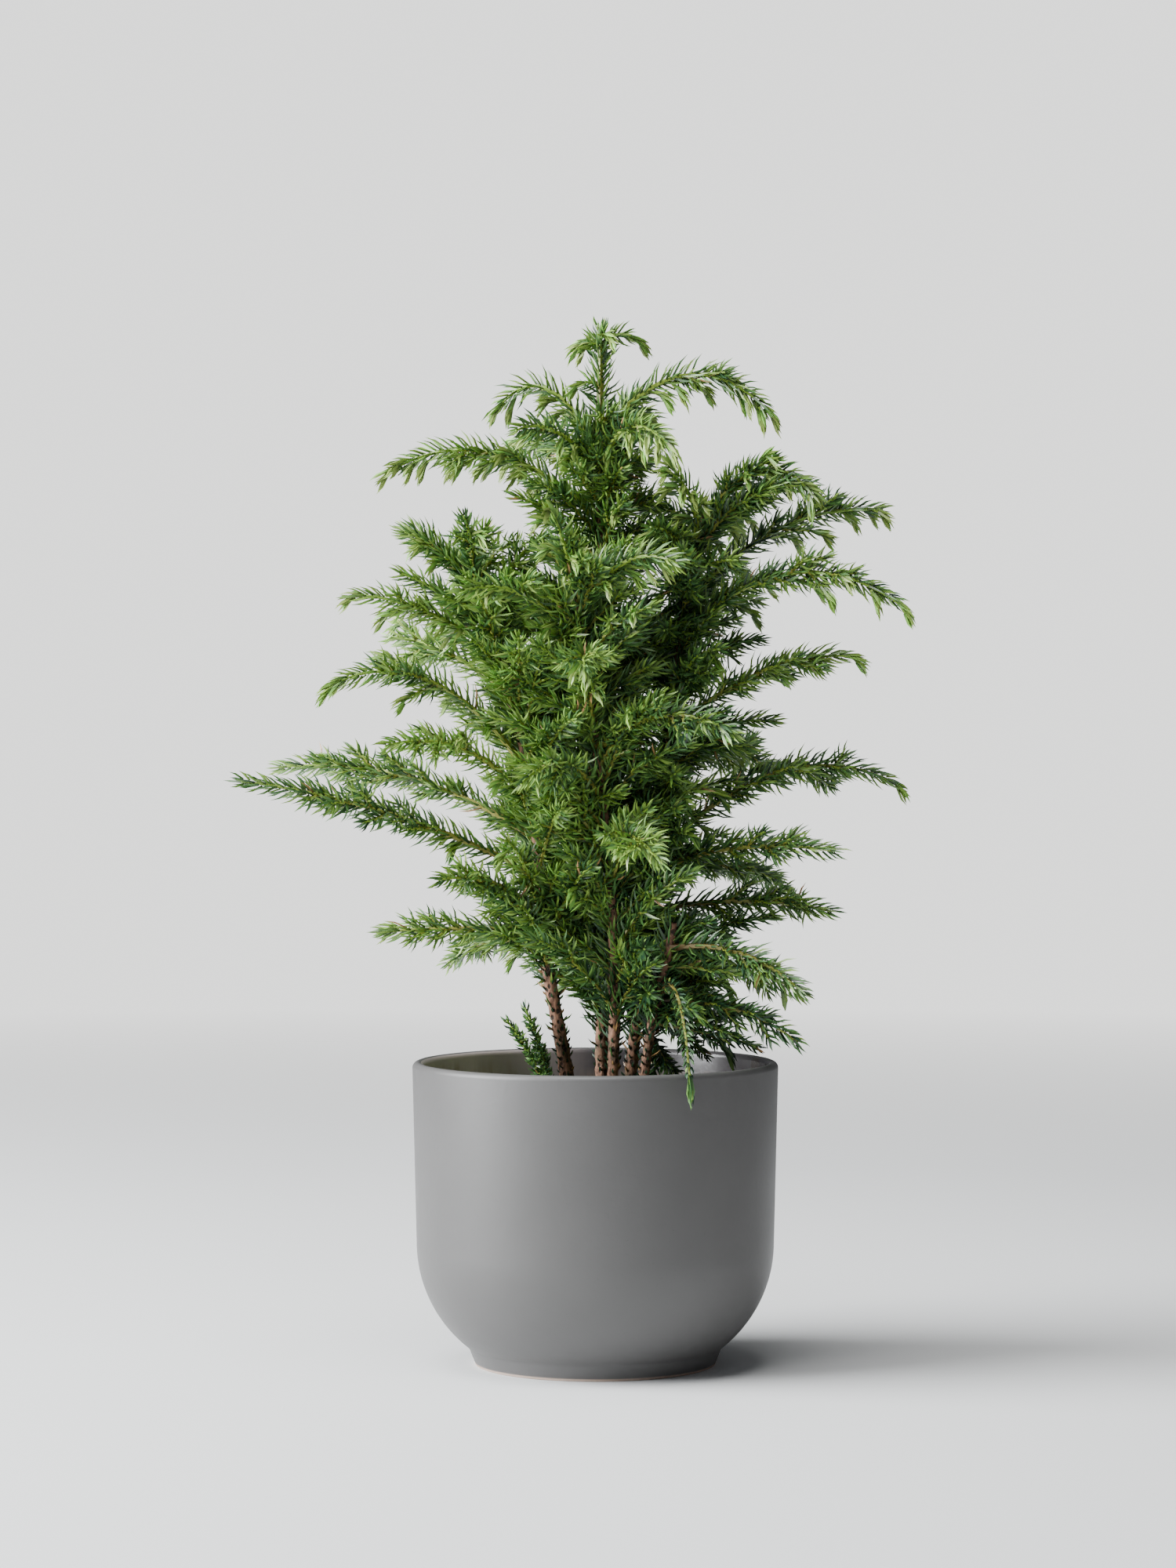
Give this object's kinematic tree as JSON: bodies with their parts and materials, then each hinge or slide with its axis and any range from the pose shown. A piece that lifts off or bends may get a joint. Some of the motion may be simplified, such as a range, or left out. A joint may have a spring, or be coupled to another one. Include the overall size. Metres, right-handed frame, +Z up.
{
  "type": "artificial tabletop tree",
  "caption": "Small bushy tabletop conifer: wired stems with needle branches that bend at their roots, planted in a lift-out insert in a round grey glazed pot with a short foot.",
  "frame": {"origin": "centre of the pot's flat underside", "axes": "+Z up along the pot's axis; +X to the right and -Y to the front, as the tree is seen"},
  "size_m": [0.2761, 0.2098, 0.4268],
  "materials": {
    "pot_glaze": "satin mid-grey glaze, a little glossier inside",
    "liner_plastic": "black moulded plastic",
    "cement": "rough cast cement",
    "foam": null,
    "moss": "dark damp-looking moss with brown bits",
    "bark": "red-brown bark with small dark needle scars",
    "core_steel": "drawn wire",
    "needles": "waxy green needles, brighter at the new tips"
  },
  "bodies": {
    "pot": {"pot": "pot_glaze"},
    "insert": {"ballast": "cement", "core_centre": "core_steel", "core_front": "core_steel", "core_left": "core_steel", "core_low": "core_steel", "core_right": "core_steel", "foam_plug": "foam", "liner": "liner_plastic", "moss_mat": "moss", "sprout": "needles", "stem_centre": "bark", "stem_front": "bark", "stem_left": "bark", "stem_low": "bark", "stem_right": "bark"},
    "branch_centre_01": {"branch_centre_01": "needles"},
    "branch_centre_02": {"branch_centre_02": "needles"},
    "branch_centre_03": {"branch_centre_03": "needles"},
    "branch_centre_04": {"branch_centre_04": "needles"},
    "branch_centre_05": {"branch_centre_05": "needles"},
    "branch_centre_06": {"branch_centre_06": "needles"},
    "branch_centre_07": {"branch_centre_07": "needles"},
    "branch_centre_08": {"branch_centre_08": "needles"},
    "branch_centre_09": {"branch_centre_09": "needles"},
    "branch_centre_10": {"branch_centre_10": "needles"},
    "branch_centre_11": {"branch_centre_11": "needles"},
    "branch_front_01": {"branch_front_01": "needles"},
    "branch_front_02": {"branch_front_02": "needles"},
    "branch_front_03": {"branch_front_03": "needles"},
    "branch_front_04": {"branch_front_04": "needles"},
    "branch_front_05": {"branch_front_05": "needles"},
    "branch_front_06": {"branch_front_06": "needles"},
    "branch_front_07": {"branch_front_07": "needles"},
    "branch_left_01": {"branch_left_01": "needles"},
    "branch_left_02": {"branch_left_02": "needles"},
    "branch_left_03": {"branch_left_03": "needles"},
    "branch_left_04": {"branch_left_04": "needles"},
    "branch_left_05": {"branch_left_05": "needles"},
    "branch_left_06": {"branch_left_06": "needles"},
    "branch_left_07": {"branch_left_07": "needles"},
    "branch_left_08": {"branch_left_08": "needles"},
    "branch_left_09": {"branch_left_09": "needles"},
    "branch_left_10": {"branch_left_10": "needles"},
    "branch_left_11": {"branch_left_11": "needles"},
    "branch_low_01": {"branch_low_01": "needles"},
    "branch_low_02": {"branch_low_02": "needles"},
    "branch_right_01": {"branch_right_01": "needles"},
    "branch_right_02": {"branch_right_02": "needles"},
    "branch_right_03": {"branch_right_03": "needles"},
    "branch_right_04": {"branch_right_04": "needles"},
    "branch_right_05": {"branch_right_05": "needles"},
    "branch_right_06": {"branch_right_06": "needles"},
    "branch_right_07": {"branch_right_07": "needles"},
    "branch_right_08": {"branch_right_08": "needles"},
    "branch_right_09": {"branch_right_09": "needles"},
    "branch_right_10": {"branch_right_10": "needles"},
    "branch_right_11": {"branch_right_11": "needles"},
    "branch_right_12": {"branch_right_12": "needles"},
    "leader": {"leader": "needles"}
  },
  "joints": [
    {"name": "insert_lift", "type": "slide", "parent": "pot", "child": "insert", "axis": [0, 0, 1], "range_m": [0, 0.12]},
    {"name": "branch_centre_01_bend", "type": "hinge", "parent": "insert", "child": "branch_centre_01", "pos_m": [0.00585, 0.01151, 0.385], "axis": [-0.1392, -0.9903, 0], "range_deg": [-8, 12]},
    {"name": "branch_centre_02_bend", "type": "hinge", "parent": "insert", "child": "branch_centre_02", "pos_m": [-0.00176, 0.01272, 0.379], "axis": [0.1392, 0.9903, 0], "range_deg": [-8, 12]},
    {"name": "branch_centre_03_bend", "type": "hinge", "parent": "insert", "child": "branch_centre_03", "pos_m": [0.00393, 0.00885, 0.37], "axis": [-0.8988, -0.4384, 0], "range_deg": [-8, 12]},
    {"name": "branch_centre_04_bend", "type": "hinge", "parent": "insert", "child": "branch_centre_04", "pos_m": [-0.00031, 0.00941, 0.368], "axis": [-0.766, 0.6428, 0], "range_deg": [-8, 12]},
    {"name": "branch_centre_05_bend", "type": "hinge", "parent": "insert", "child": "branch_centre_05", "pos_m": [0.00359, 0.01587, 0.376], "axis": [0.9272, -0.3746, 0], "range_deg": [-8, 12]},
    {"name": "branch_centre_06_bend", "type": "hinge", "parent": "insert", "child": "branch_centre_06", "pos_m": [0.00008, 0.01588, 0.362], "axis": [0.829, 0.5592, 0], "range_deg": [-8, 12]},
    {"name": "branch_centre_07_bend", "type": "hinge", "parent": "insert", "child": "branch_centre_07", "pos_m": [-0.00156, 0.01261, 0.349], "axis": [-0.0698, 0.9976, 0], "range_deg": [-8, 12]},
    {"name": "branch_centre_08_bend", "type": "hinge", "parent": "insert", "child": "branch_centre_08", "pos_m": [0.00262, 0.01763, 0.324], "axis": [0.9994, 0.0349, 0], "range_deg": [-8, 12]},
    {"name": "branch_centre_09_bend", "type": "hinge", "parent": "insert", "child": "branch_centre_09", "pos_m": [-0.00039, 0.01672, 0.292], "axis": [0.6157, 0.788, 0], "range_deg": [-8, 12]},
    {"name": "branch_centre_10_bend", "type": "hinge", "parent": "insert", "child": "branch_centre_10", "pos_m": [0.00499, 0.01822, 0.278], "axis": [0.8988, -0.4384, 0], "range_deg": [-8, 12]},
    {"name": "branch_centre_11_bend", "type": "hinge", "parent": "insert", "child": "branch_centre_11", "pos_m": [0.00168, 0.01893, 0.252], "axis": [0.9511, 0.309, 0], "range_deg": [-8, 12]},
    {"name": "branch_front_01_bend", "type": "hinge", "parent": "insert", "child": "branch_front_01", "pos_m": [-0.0097, -0.03212, 0.319], "axis": [-0.9511, 0.309, 0], "range_deg": [-8, 12]},
    {"name": "branch_front_02_bend", "type": "hinge", "parent": "insert", "child": "branch_front_02", "pos_m": [-0.00448, -0.02992, 0.311], "axis": [-0.6157, -0.788, 0], "range_deg": [-8, 12]},
    {"name": "branch_front_03_bend", "type": "hinge", "parent": "insert", "child": "branch_front_03", "pos_m": [-0.00892, -0.02755, 0.298], "axis": [-0.4067, 0.9135, 0], "range_deg": [-8, 12]},
    {"name": "branch_front_04_bend", "type": "hinge", "parent": "insert", "child": "branch_front_04", "pos_m": [-0.00237, -0.0273, 0.274], "axis": [-0.9994, 0.0349, 0], "range_deg": [-8, 12]},
    {"name": "branch_front_05_bend", "type": "hinge", "parent": "insert", "child": "branch_front_05", "pos_m": [0.00332, -0.02426, 0.254], "axis": [-0.6428, -0.766, 0], "range_deg": [-8, 12]},
    {"name": "branch_front_06_bend", "type": "hinge", "parent": "insert", "child": "branch_front_06", "pos_m": [0.00057, -0.02364, 0.234], "axis": [-0.866, 0.5, 0], "range_deg": [-8, 12]},
    {"name": "branch_front_07_bend", "type": "hinge", "parent": "insert", "child": "branch_front_07", "pos_m": [0.00587, -0.02233, 0.212], "axis": [-0.9613, -0.2756, 0], "range_deg": [-8, 12]},
    {"name": "branch_left_01_bend", "type": "hinge", "parent": "insert", "child": "branch_left_01", "pos_m": [-0.05658, -0.00694, 0.325], "axis": [0.2419, 0.9703, 0], "range_deg": [-8, 12]},
    {"name": "branch_left_02_bend", "type": "hinge", "parent": "insert", "child": "branch_left_02", "pos_m": [-0.05052, -0.00371, 0.318], "axis": [0.9994, 0.0349, 0], "range_deg": [-8, 12]},
    {"name": "branch_left_03_bend", "type": "hinge", "parent": "insert", "child": "branch_left_03", "pos_m": [-0.04562, -0.00703, 0.294], "axis": [-0.1736, 0.9848, 0], "range_deg": [-8, 12]},
    {"name": "branch_left_04_bend", "type": "hinge", "parent": "insert", "child": "branch_left_04", "pos_m": [-0.0394, -0.00311, 0.278], "axis": [0.6428, 0.766, 0], "range_deg": [-8, 12]},
    {"name": "branch_left_05_bend", "type": "hinge", "parent": "insert", "child": "branch_left_05", "pos_m": [-0.03296, -0.00571, 0.25], "axis": [-0.225, 0.9744, 0], "range_deg": [-8, 12]},
    {"name": "branch_left_06_bend", "type": "hinge", "parent": "insert", "child": "branch_left_06", "pos_m": [-0.02954, -0.00696, 0.234], "axis": [-0.6691, 0.7431, 0], "range_deg": [-8, 12]},
    {"name": "branch_left_07_bend", "type": "hinge", "parent": "insert", "child": "branch_left_07", "pos_m": [-0.0285, -0.00199, 0.218], "axis": [0.3256, 0.9455, 0], "range_deg": [-8, 12]},
    {"name": "branch_left_08_bend", "type": "hinge", "parent": "insert", "child": "branch_left_08", "pos_m": [-0.02688, -0.0042, 0.202], "axis": [-0.2924, 0.9563, 0], "range_deg": [-8, 12]},
    {"name": "branch_left_09_bend", "type": "hinge", "parent": "insert", "child": "branch_left_09", "pos_m": [-0.02422, -0.00619, 0.186], "axis": [-0.788, 0.6157, 0], "range_deg": [-8, 12]},
    {"name": "branch_left_10_bend", "type": "hinge", "parent": "insert", "child": "branch_left_10", "pos_m": [-0.02551, -0.00214, 0.178], "axis": [0.0698, 0.9976, 0], "range_deg": [-8, 12]},
    {"name": "branch_left_11_bend", "type": "hinge", "parent": "insert", "child": "branch_left_11", "pos_m": [-0.02265, 0.00169, 0.168], "axis": [0.848, 0.5299, 0], "range_deg": [-8, 12]},
    {"name": "branch_low_01_bend", "type": "hinge", "parent": "insert", "child": "branch_low_01", "pos_m": [0.0329, -0.02348, 0.172], "axis": [-0.5592, -0.829, 0], "range_deg": [-8, 12]},
    {"name": "branch_low_02_bend", "type": "hinge", "parent": "insert", "child": "branch_low_02", "pos_m": [0.02622, -0.02201, 0.152], "axis": [-0.9781, -0.2079, 0], "range_deg": [-3, 12]},
    {"name": "branch_right_01_bend", "type": "hinge", "parent": "insert", "child": "branch_right_01", "pos_m": [0.04858, 0.01635, 0.348], "axis": [-0.4067, -0.9135, 0], "range_deg": [-8, 12]},
    {"name": "branch_right_02_bend", "type": "hinge", "parent": "insert", "child": "branch_right_02", "pos_m": [0.04169, 0.01399, 0.34], "axis": [-0.9272, 0.3746, 0], "range_deg": [-8, 12]},
    {"name": "branch_right_03_bend", "type": "hinge", "parent": "insert", "child": "branch_right_03", "pos_m": [0.04193, 0.02061, 0.332], "axis": [0.9613, -0.2756, 0], "range_deg": [-8, 12]},
    {"name": "branch_right_04_bend", "type": "hinge", "parent": "insert", "child": "branch_right_04", "pos_m": [0.04088, 0.01699, 0.316], "axis": [0.2419, -0.9703, 0], "range_deg": [-8, 12]},
    {"name": "branch_right_05_bend", "type": "hinge", "parent": "insert", "child": "branch_right_05", "pos_m": [0.03865, 0.01366, 0.302], "axis": [-0.342, -0.9397, 0], "range_deg": [-8, 12]},
    {"name": "branch_right_06_bend", "type": "hinge", "parent": "insert", "child": "branch_right_06", "pos_m": [0.03059, 0.014, 0.242], "axis": [0.829, -0.5592, 0], "range_deg": [-8, 12]},
    {"name": "branch_right_07_bend", "type": "hinge", "parent": "insert", "child": "branch_right_07", "pos_m": [0.03458, 0.01188, 0.262], "axis": [0.0349, -0.9994, 0], "range_deg": [-8, 12]},
    {"name": "branch_right_08_bend", "type": "hinge", "parent": "insert", "child": "branch_right_08", "pos_m": [0.02923, 0.00959, 0.212], "axis": [0.1392, -0.9903, 0], "range_deg": [-8, 12]},
    {"name": "branch_right_09_bend", "type": "hinge", "parent": "insert", "child": "branch_right_09", "pos_m": [0.02803, 0.00668, 0.204], "axis": [-0.4384, -0.8988, 0], "range_deg": [-8, 12]},
    {"name": "branch_right_10_bend", "type": "hinge", "parent": "insert", "child": "branch_right_10", "pos_m": [0.02645, 0.01148, 0.198], "axis": [0.7431, -0.6691, 0], "range_deg": [-8, 12]},
    {"name": "branch_right_11_bend", "type": "hinge", "parent": "insert", "child": "branch_right_11", "pos_m": [0.02672, 0.00733, 0.186], "axis": [-0.0698, -0.9976, 0], "range_deg": [-8, 12]},
    {"name": "branch_right_12_bend", "type": "hinge", "parent": "insert", "child": "branch_right_12", "pos_m": [0.02466, 0.00839, 0.168], "axis": [0.3746, -0.9272, 0], "range_deg": [-8, 12]},
    {"name": "leader_bend", "type": "hinge", "parent": "insert", "child": "leader", "pos_m": [0.002, 0.012, 0.38885], "axis": [0, 1, 0], "range_deg": [-10, 10]}
  ]
}
